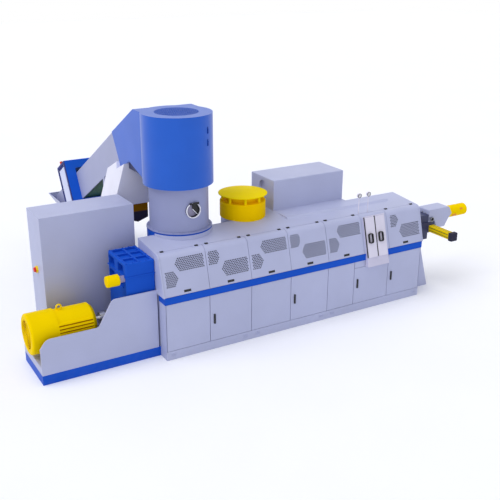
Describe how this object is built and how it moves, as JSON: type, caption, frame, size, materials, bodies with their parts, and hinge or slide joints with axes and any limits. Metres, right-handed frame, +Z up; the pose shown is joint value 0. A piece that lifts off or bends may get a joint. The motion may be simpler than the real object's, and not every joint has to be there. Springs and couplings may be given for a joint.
{
  "type": "plastic recycling line",
  "caption": "Plastic recycling line: belt conveyor with metal detector, blue-hooded compactor drum, screw extruder in a grey sheet-metal housing with blue band, degassing windows and pelletiser",
  "frame": {"origin": "middle of the footprint, on the floor", "axes": "+X along the housing from the motor end to the pelletiser, +Y from the housing's door side to the conveyor, +Z up"},
  "size_m": [7.834, 5.5614, 3.269],
  "materials": {
    "grey_paint": "satin powder coat, blue-grey",
    "blue_paint": "semi-gloss paint, strong blue",
    "yellow_paint": "gloss enamel, yellow",
    "dark_steel": "semi-matt paint, dark blue-grey",
    "black_plastic": "matt moulded plastic",
    "bare_steel": "brushed steel",
    "perforated": "perforated sheet, blue-grey",
    "belt": "matt dark green belt cover",
    "lid_paint": "gloss paint, pale grey",
    "red_plastic": "gloss moulded plastic, red"
  },
  "bodies": {
    "line": {"back_panels": "grey_paint", "barrel_stands": "dark_steel", "base_frame": "grey_paint", "base_plinth": "blue_paint", "blue_band": "blue_paint", "changer_cylinder": "yellow_paint", "compactor_drum": "grey_paint", "control_cabinet": "grey_paint", "conveyor_belt": "belt", "conveyor_frame": "grey_paint", "conveyor_legs": "grey_paint", "cover_grips": "black_plastic", "cover_hinges": "black_plastic", "degassing_box": "lid_paint", "degassing_lids": "lid_paint", "detector_gate": "blue_paint", "door_frame": "grey_paint", "drive_canopy": "yellow_paint", "drive_motor": "yellow_paint", "drum_base": "blue_paint", "drum_stand": "dark_steel", "extruder_barrel": "bare_steel", "gauges": "bare_steel", "gearbox": "blue_paint", "head_casing": "grey_paint", "head_drive": "yellow_paint", "head_stand": "grey_paint", "hood": "blue_paint", "lid_handles": "black_plastic", "lower_ends": "grey_paint", "main_motor": "yellow_paint", "motor_base": "grey_paint", "oil_pump_motor": "dark_steel", "pelletiser": "grey_paint", "pelletiser_motor": "yellow_paint", "perforated_sheets": "perforated", "rear_box": "grey_paint", "rear_room": "grey_paint", "roof_sheet": "grey_paint", "screen_changer": "dark_steel", "shaft_coupling": "dark_steel", "sight_port": "bare_steel", "stop_button": "red_plastic", "tail_drum": "bare_steel", "tail_hopper": "grey_paint", "upper_covers": "grey_paint", "upper_ends": "grey_paint", "window_panel": "grey_paint"},
    "door_1_body": {"door_1": "grey_paint"},
    "door_2_body": {"door_2": "grey_paint", "door_handle_2": "black_plastic"},
    "door_3_body": {"door_3": "grey_paint"},
    "door_4_body": {"door_4": "grey_paint", "door_handle_4": "black_plastic"},
    "door_5_body": {"door_5": "grey_paint"},
    "door_6_body": {"door_6": "grey_paint", "door_handle_6": "black_plastic"},
    "door_7_body": {"door_7": "grey_paint", "door_handle_7": "black_plastic"}
  },
  "joints": [
    {"name": "door_1_hinge", "type": "hinge", "parent": "line", "child": "door_1_body", "pos_m": [-2.152, -2.6607, 0.45], "axis": [0, 0, -1], "range_deg": [0, 90]},
    {"name": "door_2_hinge", "type": "hinge", "parent": "line", "child": "door_2_body", "pos_m": [-0.847, -2.6607, 0.45], "axis": [0, 0, 1], "range_deg": [0, 90]},
    {"name": "door_3_hinge", "type": "hinge", "parent": "line", "child": "door_3_body", "pos_m": [-0.799, -2.6607, 0.45], "axis": [0, 0, -1], "range_deg": [0, 90]},
    {"name": "door_4_hinge", "type": "hinge", "parent": "line", "child": "door_4_body", "pos_m": [0.513, -2.6607, 0.45], "axis": [0, 0, 1], "range_deg": [0, 90]},
    {"name": "door_5_hinge", "type": "hinge", "parent": "line", "child": "door_5_body", "pos_m": [0.561, -2.6607, 0.45], "axis": [0, 0, -1], "range_deg": [0, 90]},
    {"name": "door_6_hinge", "type": "hinge", "parent": "line", "child": "door_6_body", "pos_m": [1.696, -2.6607, 0.45], "axis": [0, 0, 1], "range_deg": [0, 90]},
    {"name": "door_7_hinge", "type": "hinge", "parent": "line", "child": "door_7_body", "pos_m": [2.369, -2.6607, 0.45], "axis": [0, 0, 1], "range_deg": [0, 90]}
  ]
}
